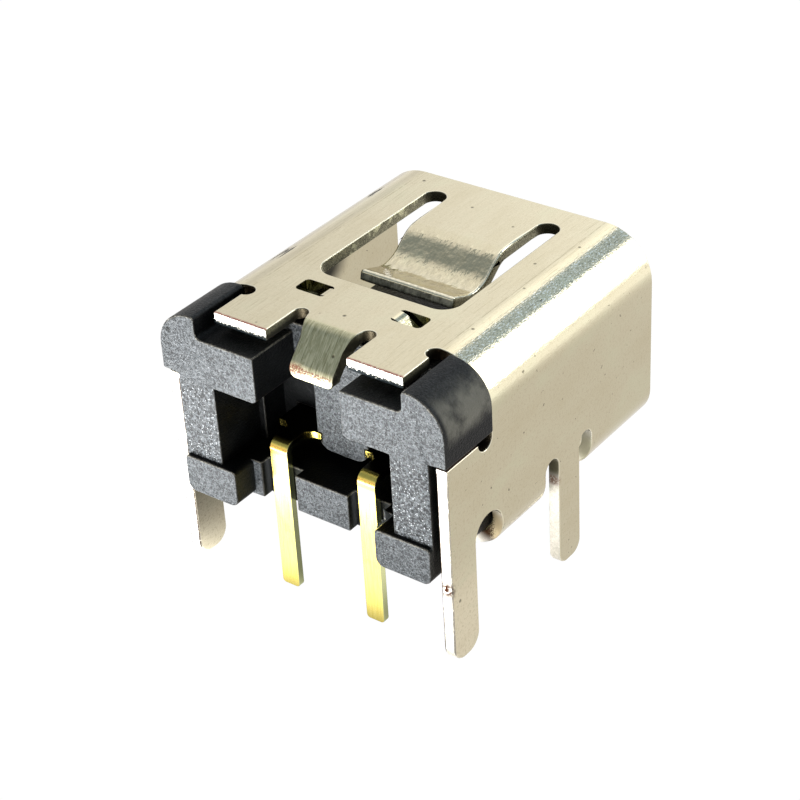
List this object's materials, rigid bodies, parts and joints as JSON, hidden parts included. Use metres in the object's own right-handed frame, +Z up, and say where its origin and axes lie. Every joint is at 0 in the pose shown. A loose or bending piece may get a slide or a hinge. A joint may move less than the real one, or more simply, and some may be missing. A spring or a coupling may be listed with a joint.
{
  "type": "charging port connector",
  "caption": "Right-angle charging socket for a circuit board: a folded plated shell with legs and a roof spring around a dark moulded housing that holds gold contact pins.",
  "frame": {"origin": "on the plane of the pins' tips, below the middle of the part's box", "axes": "+Y points out of the mouth, +Z up from the board through the roof with the spring, +X to the right seen from the rear"},
  "size_m": [0.0082, 0.0088, 0.0074],
  "materials": {
    "shell_metal": "bright plated sheet, lightly brushed",
    "housing_plastic": "matt, fibre-filled",
    "contact_gold": "thin gold plate"
  },
  "bodies": {
    "root": {"shield_shell": "shell_metal", "insulator_housing": "housing_plastic", "left_contact": "contact_gold", "right_contact": "contact_gold"}
  },
  "joints": []
}
